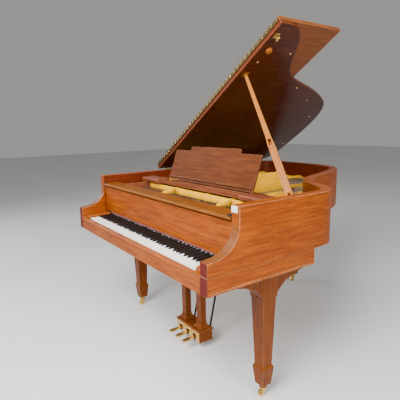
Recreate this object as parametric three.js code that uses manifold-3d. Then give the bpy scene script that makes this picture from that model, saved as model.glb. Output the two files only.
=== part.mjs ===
// A grand piano in its playing position, built as separate pieces: the lid is open on its long prop,
// the front flap is folded back on the lid, the music desk is up and the fallboard is open.
//
// Millimetres, +Z up, +X towards the treble, +Y towards the tail. The pieces are laid out from the
// front of the case arms (Y 0) and the middle of the keyboard (X 0), and the finished group is then
// centred, so that its origin is the middle of the footprint on the floor.
import * as THREE from "three";
import { mergeVertices } from "three/addons/utils/BufferGeometryUtils.js";
import Module from "manifold-3d";

// ---------------------------------------------------------------- driving dimensions
const GAP = 0.4; // between pieces that touch on the real piano

const CASE = { width: 1475, length: 1790, top: 992, bottom: 727, wall: 50, straight: 690 };
const ARM = { front: 165, low: 786, curveTop: 905, thick: 52 };
const BASE = { bottom: 648, back: 637 }; // the rail under each side, level with the keybed
const INNER = { wall: 36, top: 850, front: 640 };
const STRETCHER = { top: 941, front: 155, back: 262, lip: 15 };
const KEYBED = { back: 618, thick: 38 };
const KEYS = {
  naturals: 52, pitch: 23.6, gap: 1, front: 30, head: 50, back: 420, pivot: 250,
  bottom: 703, top: 728, sharpTop: 740, sharpWidth: 10, sharpBack: 176, sharpEnd: 436,
};
const FALL = { pivotY: 185, pivotZ: 765, front: 172, thick: 20, bottom: 748, top: 918 };
const BELLY = { front: 620, back: 640 };
const PLATE = {
  under: 871, top: 881, lip: 859, flange: 60, webFront: 276, webBack: 505, wall: 455,
  rib: 930, tallRib: 955, ribRear: 905,
};
// The lengthwise ribs: where each starts and where its top begins to fall. The tall ones rise
// behind the music desk.
const RIBS = [
  { x: -640, front: 320, fall: 840 },
  { x: -228, front: 320, fall: 1400, tall: true },
  { x: 100, front: 458, fall: 1060, tall: true },
  { x: 328, front: 320, fall: 840 },
  { x: 560, front: 320, fall: 670 },
];
const STRINGS = { z: 885, size: 2.4, front: 300, hitch: 96 };
const LID = { thick: 22, under: 996.5, open: 32, edge: 628, flapDepth: 466 };
const LID_AXIS = { x: -CASE.width / 2 - 5.5, z: 994.2 };
const DESK = {
  foot: 537, hingeZ: 960, width: 830, height: 205, crown: 27, crownWidth: 470, thick: 10, lean: 20,
  trayFront: 476, trayBack: 632, trayZ: 936, trayTop: 946, shelfTop: 966, shelfFront: 436,
  shelfBack: 532, shelfEnd: 640,
};
const BRACE = { foot: 607, z: 959, lean: 25, length: 92, halfWidth: 30 };
const PROP = {
  base: [650, 560, 962], tipAlong: 1114, tipY: 675, stowAzimuth: 40, stowDip: 2,
  clearance: 145, slotLength: 335, slotWidth: 15, shortLength: 296, pin: 4,
};
const LEG = {
  x: 643, y: 392, rearX: -260, rearY: 1620, frontKnee: 176, rearKnee: 80, foot: 66, shoulder: 522,
};
const CASTER = { radius: 19, width: 13, trail: 11, pin: 3.5 };
const LYRE = { centre: 12, x: 122, front: 370, back: 464, bottom: 42, boxTop: 120, postX: 80 };
const PEDAL = { spacing: 74, tip: 280, pivotY: 440, pivotZ: 76, thick: 9, rest: 4 };

const SIDE = CASE.width / 2;
const INSIDE = SIDE - ARM.thick; // inner face of each arm
const rad = THREE.MathUtils.degToRad;

// ---------------------------------------------------------------- materials
const finish = (color, roughness, metalness = 0) =>
  new THREE.MeshStandardMaterial({ color, roughness, metalness });
const MATERIAL = {
  mahogany: finish(0x9a4a1c, 0.35),
  innerVeneer: finish(0x5f2110, 0.4),
  maple: finish(0xb98a55, 0.6),
  spruce: finish(0xc79a5c, 0.55),
  gold: finish(0xd9b04a, 0.4, 0.6),
  brass: finish(0xc9a23e, 0.3, 0.9),
  steel: finish(0xb8b8b4, 0.3, 1),
  ivory: finish(0xf3efe4, 0.25),
  ebony: finish(0x0c0b0b, 0.3),
  felt: finish(0xe4dfd2, 0.95),
  propWood: finish(0xd39a68, 0.4),
};

// ---------------------------------------------------------------- booleans
const wasm = await Module();
wasm.setup();

function solidOf(geometry) {
  const bare = geometry.clone();
  bare.deleteAttribute("normal");
  bare.deleteAttribute("uv");
  const merged = mergeVertices(bare, 1e-3);
  return new wasm.Manifold(new wasm.Mesh({
    numProp: 3,
    vertProperties: new Float32Array(merged.attributes.position.array),
    triVerts: new Uint32Array(merged.index.array),
  }));
}

function geometryOf(solid) {
  const mesh = solid.getMesh();
  const geometry = new THREE.BufferGeometry();
  geometry.setAttribute("position", new THREE.BufferAttribute(mesh.vertProperties, 3));
  geometry.setIndex(new THREE.BufferAttribute(mesh.triVerts, 1));
  geometry.computeVertexNormals();
  return geometry;
}

const join = (...pieces) => geometryOf(pieces.map(solidOf).reduce((a, b) => a.add(b)));
const cut = (piece, ...tools) =>
  geometryOf(tools.map(solidOf).reduce((a, b) => a.subtract(b), solidOf(piece)));
const keep = (piece, region) => geometryOf(solidOf(piece).intersect(solidOf(region)));

// ---------------------------------------------------------------- basic shapes
function box([x0, x1], [y0, y1], [z0, z1]) {
  const geometry = new THREE.BoxGeometry(x1 - x0, y1 - y0, z1 - z0);
  return geometry.translate((x0 + x1) / 2, (y0 + y1) / 2, (z0 + z1) / 2);
}

const shapeOf = (points) => new THREE.Shape(points.map(([u, v]) => new THREE.Vector2(u, v)));

function extrude(outline, depth, curveSegments = 12) {
  const shape = Array.isArray(outline) ? shapeOf(outline) : outline;
  return new THREE.ExtrudeGeometry(shape, { depth, bevelEnabled: false, curveSegments });
}

// An outline in plan, standing from z0 to z1.
const upright = (outline, [z0, z1], segments) =>
  extrude(outline, z1 - z0, segments).translate(0, 0, z0);

// A profile in the Y-Z plane, running along X.
function alongX(outline, [x0, x1], segments) {
  const turn = new THREE.Matrix4().makeBasis(
    new THREE.Vector3(0, 1, 0), new THREE.Vector3(0, 0, 1), new THREE.Vector3(1, 0, 0));
  return extrude(outline, x1 - x0, segments).applyMatrix4(turn).translate(x0, 0, 0);
}

// A profile in the X-Z plane, running along Y.
function alongY(outline, [y0, y1], segments) {
  const turn = new THREE.Matrix4().makeBasis(
    new THREE.Vector3(1, 0, 0), new THREE.Vector3(0, 0, 1), new THREE.Vector3(0, -1, 0));
  return extrude(outline, y1 - y0, segments).applyMatrix4(turn).translate(0, y1, 0);
}

// A square-section turning: [height, half width] pairs from bottom to top.
function squareTurning(steps) {
  const points = steps.map(([z, half]) => new THREE.Vector2(half * Math.SQRT2, z));
  points.unshift(new THREE.Vector2(0, steps[0][0]));
  points.push(new THREE.Vector2(0, steps.at(-1)[0]));
  return new THREE.LatheGeometry(points, 4).rotateX(Math.PI / 2).rotateZ(Math.PI / 4);
}

const rodX = (radius, [x0, x1], y, z, sides = 12) =>
  new THREE.CylinderGeometry(radius, radius, x1 - x0, sides)
    .rotateZ(Math.PI / 2).translate((x0 + x1) / 2, y, z);

const rodY = (radius, [y0, y1], x, z, sides = 12) =>
  new THREE.CylinderGeometry(radius, radius, y1 - y0, sides).translate(x, (y0 + y1) / 2, z);

const rodZ = (radius, [z0, z1], x, y, sides = 12) =>
  new THREE.CylinderGeometry(radius, radius, z1 - z0, sides)
    .rotateX(Math.PI / 2).translate(x, y, (z0 + z1) / 2);

function rodBetween(a, b, radius, sides = 10) {
  const from = new THREE.Vector3(...a);
  const to = new THREE.Vector3(...b);
  const turn = new THREE.Quaternion().setFromUnitVectors(
    new THREE.Vector3(0, 1, 0), to.clone().sub(from).normalize());
  const middle = from.clone().add(to).multiplyScalar(0.5);
  return new THREE.CylinderGeometry(radius, radius, from.distanceTo(to), sides)
    .applyQuaternion(turn).translate(middle.x, middle.y, middle.z);
}

// ---------------------------------------------------------------- the case outline
// Plan of the case from the front of the bass arm, round the tail, to the front of the treble arm.
function caseCurve(front = 0) {
  const path = new THREE.Path();
  path.moveTo(-SIDE, front);
  path.lineTo(-SIDE, CASE.length - 140);
  path.bezierCurveTo(-SIDE, CASE.length - 50, -690, CASE.length, -590, CASE.length);
  path.bezierCurveTo(-210, CASE.length, 40, CASE.length - 30, 150, 1600);
  path.bezierCurveTo(215, 1490, 262, 1370, 300, 1250);
  path.bezierCurveTo(340, 1124, 355, 1090, 400, 1015);
  path.bezierCurveTo(475, 890, SIDE, 870, SIDE, CASE.straight);
  path.lineTo(SIDE, front);
  return path;
}

// The case plan moved inwards by a distance, as [x, y] pairs, cut off at a front line.
function casePlan(inset, front = 0, divisions = 9) {
  const points = caseCurve(front).getPoints(divisions);
  return points.map((p, i) => {
    const before = points[Math.max(i - 1, 0)];
    const after = points[Math.min(i + 1, points.length - 1)];
    const inA = new THREE.Vector2(p.y - before.y, before.x - p.x).normalize();
    const inB = new THREE.Vector2(after.y - p.y, p.x - after.x).normalize();
    const a = i === 0 ? inB : inA;
    const b = i === points.length - 1 ? inA : inB;
    const mitre = inset / (1 + a.dot(b));
    return [p.x + (a.x + b.x) * mitre, p.y + (a.y + b.y) * mitre];
  });
}

// The strip between two insets of the case plan, open at the front.
const caseStrip = (outer, inner, front, divisions) =>
  [...casePlan(outer, front, divisions), ...casePlan(inner, front, divisions).reverse()];

// ---------------------------------------------------------------- case
// Profile of the scroll between the front of an arm and the rim's top, to be cut away.
function scroll() {
  const shape = new THREE.Shape();
  shape.moveTo(-5, ARM.low);
  shape.lineTo(48, ARM.low + 5);
  shape.bezierCurveTo(110, ARM.low + 12, ARM.front - 4, ARM.low + 60, ARM.front, ARM.curveTop);
  shape.lineTo(ARM.front, CASE.top + 5);
  shape.lineTo(-5, CASE.top + 5);
  return shape;
}

function outerRim() {
  const rim = upright(caseStrip(0, CASE.wall, 0), [CASE.bottom, CASE.top]);
  return cut(rim, alongX(scroll(), [-SIDE - 5, SIDE + 5], 10));
}

const innerRim = () =>
  upright(
    caseStrip(CASE.wall + GAP, CASE.wall + INNER.wall, INNER.front + GAP),
    [CASE.bottom + 3, INNER.top],
  );

function baseRail(side) {
  const low = BASE.bottom;
  const high = CASE.bottom - GAP;
  const outer = side * SIDE;
  const inner = side * (SIDE - ARM.thick);
  const bead = 12;
  const step = side * 3;
  const profile = [[inner, low], [outer - step, low], [outer, low + 3], [outer, low + bead - 3],
    [outer - step, low + bead], [outer - step, high - 4], [outer - 2 * step, high], [inner, high]];
  return alongY(side > 0 ? profile : profile.reverse(), [0, BASE.back]);
}

const keybed = () =>
  box([-INSIDE + GAP, INSIDE - GAP], [0, KEYBED.back], [BASE.bottom, BASE.bottom + KEYBED.thick]);

const bellyRail = () =>
  box([-INSIDE + GAP, INSIDE - GAP], [BELLY.front, BELLY.back], [BASE.bottom + 5, INNER.top]);

// Beams that fan from the belly rail to the rim, tied together by a cross beam.
function rimBraces() {
  const depth = [CASE.bottom + 1, CASE.bottom + 95];
  const beam = (fromX, toX, toY) => {
    const start = new THREE.Vector2(fromX, 0);
    const end = new THREE.Vector2(toX, toY);
    const half = end.clone().sub(start).normalize().rotateAround(new THREE.Vector2(), Math.PI / 2)
      .multiplyScalar(28);
    return upright([
      [start.x + half.x, start.y + half.y], [start.x - half.x, start.y - half.y],
      [end.x - half.x, end.y - half.y], [end.x + half.x, end.y + half.y],
    ].reverse(), depth);
  };
  const beams = join(
    beam(-380, -480, 2000), beam(-140, -60, 2000), beam(180, 140, 2000), beam(300, 640, 1300),
    box([-600, 600], [INNER.front + 40, INNER.front + 90], depth),
    box([-540, 60], [LEG.rearY - 60, LEG.rearY + 40], [depth[0], depth[0] + 50]),
  );
  const inside = casePlan(CASE.wall + INNER.wall + GAP, BELLY.back + GAP);
  return keep(beams, upright(inside, [CASE.bottom, CASE.top]));
}

// The cross beam behind the fallboard, with a flat top board that reaches forward over it.
function stretcher() {
  const { top, front, back, lip } = STRETCHER;
  return alongX(
    [[front, top - lip + 5], [front + 5, top - lip], [FALL.front + 30, top - lip],
      [FALL.front + 30, 800], [back - 12, 800], [back, top - lip], [back, top], [front + 5, top],
      [front, top - 5]],
    [-INSIDE + GAP, INSIDE - GAP],
  );
}

const pinBlock = () =>
  box([-SIDE + 96, SIDE - 96], [PLATE.webFront, 470], [PLATE.under - 34, PLATE.under - GAP]);

const soundboard = () =>
  upright(casePlan(CASE.wall + 2, BELLY.front + 8), [INNER.top + GAP, INNER.top + 8]);

// ---------------------------------------------------------------- plate, bridges and strings
const RIB_X = RIBS.map((rib) => rib.x);
const BASS_RISE = 8; // the bass strings cross above the ends of the others

// How far back the case reaches at a given X, measured to a given inset.
function reach(x, inset) {
  const plan = casePlan(inset, 0, 24);
  let furthest = 0;
  for (let i = 1; i < plan.length; i++) {
    const [[xa, ya], [xb, yb]] = [plan[i - 1], plan[i]];
    if ((xa - x) * (xb - x) <= 0 && xa !== xb)
      furthest = Math.max(furthest, ya + ((yb - ya) * (x - xa)) / (xb - xa));
  }
  return furthest;
}

// A lengthwise rib of the plate: a bracket that rises to the cross wall, then an arch over the
// strings that falls to the flange.
function plateRib({ x, front, fall, tall }) {
  const back = reach(x, CASE.wall + 40);
  const low = PLATE.top - 4;
  const arch = STRINGS.z + 5;
  const rise = tall ? PLATE.tallRib : PLATE.rib;
  const shape = new THREE.Shape();
  shape.moveTo(front, low);
  shape.lineTo(PLATE.webBack + 4, low);
  shape.lineTo(PLATE.webBack + 4, arch);
  shape.lineTo(back - 50, arch);
  shape.lineTo(back - 50, low);
  shape.lineTo(back, low);
  shape.lineTo(back, PLATE.top + 3);
  shape.lineTo(back - 50, PLATE.ribRear);
  shape.lineTo(Math.min(fall + 130, back - 60), PLATE.ribRear);
  shape.lineTo(fall, rise);
  if (tall) shape.lineTo(DESK.trayBack + 40, rise);
  shape.lineTo(DESK.trayBack + 10, PLATE.rib);
  shape.lineTo(PLATE.wall + 8, PLATE.rib);
  shape.quadraticCurveTo(Math.max(380, front), PLATE.rib - 6, front, PLATE.top + 8);
  return alongX(shape, [x - 7, x + 7], 6);
}

// The gold-painted iron frame: a front web over the pin block, a flange round the rim, ribs, and
// a wall across the ribs that the strings pass under.
function ironPlate() {
  const inset = CASE.wall + 1.5;
  const web = box([-SIDE + inset, SIDE - inset], [PLATE.webFront, PLATE.webBack],
    [PLATE.under, PLATE.top]);
  const flange = upright(caseStrip(inset, inset + PLATE.flange, PLATE.webBack - 10),
    [PLATE.under, PLATE.top]);
  const lip = upright(caseStrip(inset, inset + 26, INNER.front + 20),
    [PLATE.lip, PLATE.under + 1]);
  const wall = (from, to, low) =>
    box([from, to], [PLATE.wall, PLATE.wall + 13], [low, PLATE.rib - 1.5]);
  const bassEnd = RIB_X[1];
  const plate = join(web, flange, lip, ...RIBS.map(plateRib),
    wall(-RIB_X.at(-1), bassEnd, STRINGS.z + BASS_RISE + 4.5),
    wall(bassEnd - 3, RIB_X.at(-1), STRINGS.z + 4.5));
  const holes = [[-420, 1690], [-150, 1680], [-640, 1640]].map(([x, y]) =>
    rodZ(24, [PLATE.lip - 5, PLATE.top + 5], x, y, 14));
  return cut(plate, ...holes);
}

// A curved bridge that follows the bent side, inside the hitch panel.
function trebleBridge() {
  const line = new THREE.CubicBezierCurve(
    new THREE.Vector2(550, 700), new THREE.Vector2(100, 830),
    new THREE.Vector2(190, 1290), new THREE.Vector2(-280, 1500));
  return upright(band(line, 14, 12), [INNER.top + 8 + GAP, STRINGS.z - GAP]);
}

const bassBridge = () =>
  upright([[-578, 1400], [-342, 1455], [-348, 1485], [-584, 1430]],
    [INNER.top + 8 + GAP, STRINGS.z + BASS_RISE - GAP]);

// The outline of a strip of even width along a curve in plan.
function band(curve, half, divisions) {
  const edge = (side) => curve.getPoints(divisions).map((p, i) => {
    const along = curve.getTangent(i / divisions);
    return [p.x - along.y * side * half, p.y + along.x * side * half];
  });
  return [...edge(-1), ...edge(1).reverse()];
}

// One bar for each note of a section, tied by a cross bar behind the tuning pins.
function stringSection(count, [fromX, toX], drift, z, endInset) {
  const size = STRINGS.size;
  const bars = [];
  for (let i = 0; i < count; i++) {
    const x = fromX + ((toX - fromX) * i) / (count - 1);
    if (RIB_X.some((rib) => Math.abs(rib - x) < 12)) continue;
    const end = reach(x + drift, endInset);
    const half = size / 2;
    bars.push(upright([[x - half, STRINGS.front], [x + half, STRINGS.front],
      [x + drift + half, end], [x + drift - half, end]], [z, z + size]));
  }
  const tie = box([fromX - 3, toX + 3], [STRINGS.front - 2, STRINGS.front + 2],
    [z - 0.8, z + size + 0.8]);
  return join(tie, ...bars);
}

const NOTE_PITCH = 12.4; // between the strings of neighbouring notes
const TREBLE = { count: 63, first: -200, damped: 42 };
const BASS = { count: 25, first: -568, drift: 26 };
const trebleStrings = () => stringSection(TREBLE.count,
  [TREBLE.first, TREBLE.first + (TREBLE.count - 1) * NOTE_PITCH], 0, STRINGS.z,
  CASE.wall + STRINGS.hitch);
const bassStrings = () => stringSection(BASS.count,
  [BASS.first, BASS.first + (BASS.count - 1) * NOTE_PITCH], BASS.drift, STRINGS.z + BASS_RISE,
  CASE.wall + STRINGS.hitch + 100);

// ---------------------------------------------------------------- keyboard
const LETTERS = "ABCDEFG";
// Where a sharp stands from the joint between its two naturals, in millimetres.
const SHARP_OFFSET = { A: 3.5, C: -3.5, D: 3.5, F: -4, G: 0 };
const FIRST_X = (-KEYS.naturals * KEYS.pitch) / 2;
const MIDDLE_C = 23; // counting naturals from the lowest A
const HAMMERS = 88;

function sharpX(index) {
  const offset = SHARP_OFFSET[LETTERS[index % 7]];
  if (offset === undefined || index < 0 || index >= KEYS.naturals - 1) return null;
  return FIRST_X + (index + 1) * KEYS.pitch + offset;
}

function natural(index, back = KEYS.back) {
  const left = FIRST_X + index * KEYS.pitch + KEYS.gap / 2;
  const right = left + KEYS.pitch - KEYS.gap;
  const clear = KEYS.sharpWidth / 2 + 1.5;
  const before = sharpX(index - 1);
  const after = sharpX(index);
  const tailLeft = before === null ? left : before + clear;
  const tailRight = after === null ? right : after - clear;
  const shoulder = KEYS.front + KEYS.head;
  return upright([[left, KEYS.front], [right, KEYS.front], [right, shoulder], [tailRight, shoulder],
    [tailRight, back], [tailLeft, back], [tailLeft, shoulder], [left, shoulder]],
  [KEYS.bottom, KEYS.top]);
}

function sharp(index, back = KEYS.sharpEnd) {
  const x = sharpX(index);
  const half = KEYS.sharpWidth / 2;
  const front = KEYS.front + KEYS.head + 2;
  const bottom = KEYS.bottom + 1.5;
  const profile = [[front, bottom], [back, bottom], [back, KEYS.top],
    [KEYS.sharpBack, KEYS.top], [KEYS.sharpBack, KEYS.sharpTop], [front + 7, KEYS.sharpTop],
    [front, KEYS.top]];
  return alongX(profile, [x - half, x + half]);
}

const PLAYED = { naturals: [0, 1, 2].map((i) => MIDDLE_C + i), sharps: [MIDDLE_C, MIDDLE_C + 1] };
const PLAYED_BACK = KEYS.back - 15;
const KEY_SPAN = [FIRST_X + 1, -FIRST_X - 1];

function naturalKeys() {
  const rail = box(KEY_SPAN, [KEYS.back - 10, KEYS.back], [KEYS.bottom - 6, KEYS.bottom + 0.5]);
  const all = Array.from({ length: KEYS.naturals }, (_, i) => i);
  return join(rail, ...all.filter((i) => !PLAYED.naturals.includes(i)).map((i) => natural(i)));
}

function sharpKeys() {
  const rail = box([sharpX(0), sharpX(KEYS.naturals - 3)], [KEYS.sharpEnd - 10, KEYS.sharpEnd],
    [KEYS.top - 0.5, KEYS.top + 6]);
  const all = Array.from({ length: KEYS.naturals }, (_, i) => i).filter((i) => sharpX(i) !== null);
  return join(rail, ...all.filter((i) => !PLAYED.sharps.includes(i)).map((i) => sharp(i)));
}

// Front, balance and back rails on which the keys stand, with cross pieces.
function keyFrame() {
  const floor = BASE.bottom + KEYBED.thick + GAP;
  const x = [FIRST_X, -FIRST_X];
  return join(
    box(x, [45, 80], [floor, floor + 4]),
    box(x, [KEYS.pivot - 6, KEYS.pivot + 6], [floor, KEYS.bottom - 1.5]),
    box(x, [KEYS.sharpEnd + 2, KEYS.sharpEnd + 30], [floor, KEYS.bottom - 8]),
    ...[-0.96, -0.5, 0, 0.5, 0.96].map((share) => {
      const middle = share * -FIRST_X;
      return box([middle - 15, middle + 15], [45, KEYS.sharpEnd + 30], [floor, floor + 3.5]);
    }),
  );
}

// Brackets that carry the hammer rail over the back of the keys.
function actionStack() {
  const foot = KEYS.bottom - 8 + GAP;
  const bracket = [[KEYS.sharpEnd + 6, foot], [KEYS.sharpEnd + 26, foot], [KEYS.sharpEnd + 26, 775],
    [372, 775], [372, 762], [KEYS.sharpEnd + 6, 762]];
  return join(
    box([-600, 600], [372, 396], [755, 775]),
    ...[-590, -295, 0, 295, 590].map((x) => alongX(bracket, [x - 5, x + 5])),
  );
}

// All the hammers, each a shank with a felt head under its own strings.
function hammers() {
  const rail = box([-600, 600], [400, 410], [775 + GAP, 782]);
  const profile = [[402, 777], [532, 777], [526, 852], [514, 852], [510, 782], [402, 782]];
  const heads = [];
  for (let i = 0; i < HAMMERS; i++) {
    const x = -594 + (i * 1188) / (HAMMERS - 1);
    heads.push(alongX(profile, [x - 3.6, x + 3.6]));
  }
  return join(rail, ...heads);
}

// Damper heads on the strings, with wires down to the tray that the pedal lifts.
function dampers() {
  const wireGap = NOTE_PITCH / 2;
  const pieces = [box([BASS.first, 350], [562, 578], [716, 724])];
  const addDamper = (x, z) => {
    pieces.push(box([x - 3.5, x + wireGap + 1], [542, 600], [z + STRINGS.size + GAP, z + 24]));
    pieces.push(box([x + wireGap - 1, x + wireGap + 1], [569, 571], [720, z + 10]));
  };
  const shift = (BASS.drift * 270) / 1150; // how far a bass string has moved across at the damper
  for (let i = 0; i < BASS.count; i++)
    addDamper(BASS.first + i * NOTE_PITCH + shift, STRINGS.z + BASS_RISE);
  for (let i = 0; i < TREBLE.damped; i++) {
    const x = TREBLE.first + i * NOTE_PITCH;
    if (RIB_X.every((rib) => Math.abs(rib - x) > 19)) addDamper(x, STRINGS.z);
  }
  return join(...pieces);
}

const keyslip = () => alongX(
  [[2, BASE.bottom + KEYBED.thick + GAP], [26, BASE.bottom + KEYBED.thick + GAP], [26, 722],
    [8, 722], [2, 716]],
  [-INSIDE + GAP, INSIDE - GAP]);

function keyBlock(side) {
  const inner = side * (-FIRST_X + 3);
  const outer = side * (INSIDE - GAP);
  const x = [Math.min(inner, outer), Math.max(inner, outer)];
  const profile = [[27, BASE.bottom + KEYBED.thick + GAP], [168, BASE.bottom + KEYBED.thick + GAP],
    [168, 746], [40, 741], [27, 730]];
  return alongX(profile, x);
}

const fallboard = () => alongX(
  [[FALL.front, FALL.bottom + 8], [FALL.front + 6, FALL.bottom],
    [FALL.front + FALL.thick, FALL.bottom], [FALL.front + FALL.thick, FALL.top],
    [FALL.front + 5, FALL.top], [FALL.front, FALL.top - 5]],
  [-INSIDE + 2, INSIDE - 2]);

// ---------------------------------------------------------------- lid
// The lid pieces are laid out closed, then the whole lid turns about the spine hinges.
function lidMain() {
  return upright(casePlan(0, LID.edge), [LID.under, LID.under + LID.thick]);
}

// The front flap lies folded back on the lid.
function lidFront() {
  const low = LID.under + LID.thick + GAP;
  return box([-SIDE, SIDE], [LID.edge, LID.edge + LID.flapDepth],
    [low, low + LID.thick]);
}

// The long hinge between flap and lid: its leaf covers the flap's edge, with the barrel below it.
function lidPianoHinge() {
  const low = LID.under + LID.thick;
  const x = [-SIDE + 12, SIDE - 8];
  const leaf = box(x, [LID.edge - 2.2, LID.edge - GAP], [low + 1, low + LID.thick - 2]);
  return join(leaf, rodX(1.9, x, LID.edge - 2.4, low + GAP / 2 + 0.5, 8));
}

const PROP_CUP = { x: PROP.tipAlong, size: 34 };

// A brass cup plate on the underside of the lid, where the long prop stands.
function propCup() {
  const x = LID_AXIS.x + PROP_CUP.x;
  const half = PROP_CUP.size / 2;
  return box([x - half, x + half], [PROP.tipY - half, PROP.tipY + half],
    [LID.under - 2.5, LID.under - GAP]);
}

// A butt hinge at the spine: a leaf on the rim with a knuckle outside it.
function spineHinge(y) {
  const leaf = box([LID_AXIS.x + 2, -SIDE + 34], [y - 45, y + 45], [CASE.top + GAP, CASE.top + 2.2]);
  return join(leaf, rodY(3.4, [y - 45, y + 45], LID_AXIS.x, LID_AXIS.z, 12));
}

// ---------------------------------------------------------------- prop
// The prop's own frame: origin at its pivot, +Z up the stick, +X along the pivot pin.
function propFrame() {
  const base = new THREE.Vector3(...PROP.base);
  const open = rad(LID.open);
  const tip = new THREE.Vector3(
    LID_AXIS.x + PROP.tipAlong * Math.cos(open), PROP.tipY,
    LID_AXIS.z + PROP.tipAlong * Math.sin(open));
  const up = tip.clone().sub(base);
  const length = up.length();
  up.normalize();
  const dip = rad(PROP.stowDip);
  const turn = rad(PROP.stowAzimuth);
  const stowed = new THREE.Vector3(
    -Math.sin(turn) * Math.cos(dip), Math.cos(turn) * Math.cos(dip), -Math.sin(dip));
  const pin = up.clone().cross(stowed).normalize();
  const side = up.clone().cross(pin);
  return { base, length, matrix: new THREE.Matrix4().makeBasis(pin, side, up) };
}

function propStick() {
  const { length } = propFrame();
  const end = length - PROP.clearance;
  const outline = [[-17, -14], [17, -14], [17, 300], [13, 350], [8.5, end - 8], [5, end],
    [-5, end], [-8.5, end - 8], [-13, 350], [-17, 300]];
  const stick = alongX(
    [[-9, -12], [9, -12], [16, -4], [20, 8], [20, 318], [17, 360], [11, end], [-11, end],
      [-17, 360], [-20, 318], [-20, 8], [-16, -4]],
    [-17, 17]);
  const taper = alongY(outline, [-25, 25]);
  const half = PROP.slotWidth / 2;
  const slot = box([-half, half], [-8, 30], [-20, PROP.slotLength]);
  return cut(keep(stick, taper), slot, rodX(PROP.pin + GAP, [-24, 24], 0, 0, 12));
}

const propShort = () =>
  alongX([[0, 24], [13, 24], [19, 30], [19, PROP.shortLength], [-6.5, PROP.shortLength],
    [-6.5, 34]], [-PROP.slotWidth / 2 + 1, PROP.slotWidth / 2 - 1]);

// The bracket: a pin through the foot of the stick, held by two ears on a block on the plate.
function propBracket() {
  const { matrix } = propFrame();
  const [x, y, z] = PROP.base;
  const turned = (geometry) => geometry.applyMatrix4(matrix);
  const ear = (at) => turned(box([at - 2, at + 2], [-10, 10], [-24, 9]));
  const yoke = turned(box([-22, 22], [-10, 10], [-26, -20]));
  const block = box([4, 20], [-14, 6], [PLATE.top + GAP - z, -22]);
  return join(turned(rodX(PROP.pin, [-22, 22], 0, 0, 12)), ear(20), ear(-20), yoke, block)
    .translate(x, y, z);
}

// ---------------------------------------------------------------- music desk
// The panel is laid out upright on its hinge line, then leaned back.
function deskPanel() {
  const { width, height, crown, crownWidth, thick } = DESK;
  const half = width / 2;
  const mid = crownWidth / 2;
  const panel = alongY([[-half, 3], [half, 3], [half, height], [mid + 8, height],
    [mid + 8, height + crown - 8], [mid, height + crown], [-mid, height + crown],
    [-mid - 8, height + crown - 8], [-mid - 8, height], [-half, height]], [-thick, 0]);
  const ledge = box([-half + 10, half - 10], [-thick - 10, -thick + 1], [18, 26]);
  return join(panel, ledge);
}

// The brace that holds the panel up from behind, laid out upright on its own hinge line.
const deskBrace = () => {
  const { length, halfWidth } = BRACE;
  return join(
    alongX([[0, 0], [8, 0], [8, length - 2], [0, length]], [-halfWidth, halfWidth]),
    rodX(4, [-halfWidth, halfWidth], 4, 0, 12),
  );
};

// The sliding tray: a sunk board under the panel between two raised shelves.
function deskTray() {
  const { trayFront, trayBack, trayZ, trayTop, shelfTop, shelfFront, shelfBack } = DESK;
  const { shelfEnd, width, foot } = DESK;
  const inner = width / 2 + 3;
  const corner = 9; // the rounded front edge of each shelf
  const shelfProfile = [[shelfFront, trayZ + corner], [shelfFront + corner / 3, trayZ + corner / 3],
    [shelfFront + corner, trayZ], [shelfBack, trayZ], [shelfBack, shelfTop],
    [shelfFront + corner, shelfTop], [shelfFront + corner / 3, shelfTop - corner / 3],
    [shelfFront, shelfTop - corner]];
  const shelf = (side) =>
    alongX(shelfProfile, side > 0 ? [inner, shelfEnd] : [-shelfEnd, -inner]);
  const lug = (x) =>
    box([x - 3, x + 3], [BRACE.foot - 7, BRACE.foot + 7], [trayTop - 1, BRACE.z - 1]);
  const lugX = BRACE.halfWidth + GAP + 3;
  return join(
    box([-inner - 5, inner + 5], [trayFront, trayBack], [trayZ, trayTop]),
    box([-inner - 5, inner + 5], [trayFront, trayFront + 14], [trayZ, shelfTop - 8]),
    box([-inner + 20, inner - 20], [foot - 15, foot + 8], [trayTop - 1, DESK.hingeZ - 1]),
    shelf(1), shelf(-1), lug(-lugX), lug(lugX),
  );
}

function deskRail(side) {
  const x = side > 0 ? [574, 592] : [-592, -574];
  return alongX([[266, 925], [276, 915], [290, PLATE.top + GAP], [590, PLATE.top + GAP],
    [590, DESK.trayZ - GAP], [272, DESK.trayZ - GAP], [266, 930]], x);
}

// ---------------------------------------------------------------- legs and casters
// A tapering square leg with a spade foot, and a block at its head with a curved knee before and
// behind it.
function leg(head, kneeBehind) {
  const { foot, shoulder } = LEG;
  const stem = squareTurning([[foot, 27], [foot + 86, 36], [foot + 96, 36], [foot + 104, 29],
    [shoulder + 2, 41]]);
  const block = box([-45, 45], [-44, 44], [shoulder, head]);
  const knee = (run) => {
    const shape = new THREE.Shape();
    shape.moveTo(0, head);
    shape.lineTo(0, shoulder + 4);
    shape.quadraticCurveTo(run * 0.18, head - 52, run, head - 30);
    shape.lineTo(run, head);
    return shape;
  };
  const behind = alongX(knee(kneeBehind), [-42, 42], 6).translate(0, 43, 0);
  const before = alongX(knee(150), [-42, 42], 6).rotateZ(Math.PI).translate(0, -43, 0);
  return join(stem, block, behind, before);
}

const WHEEL_SIDES = 24;
const WHEEL_Z = CASTER.radius * Math.cos(Math.PI / WHEEL_SIDES);

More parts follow.
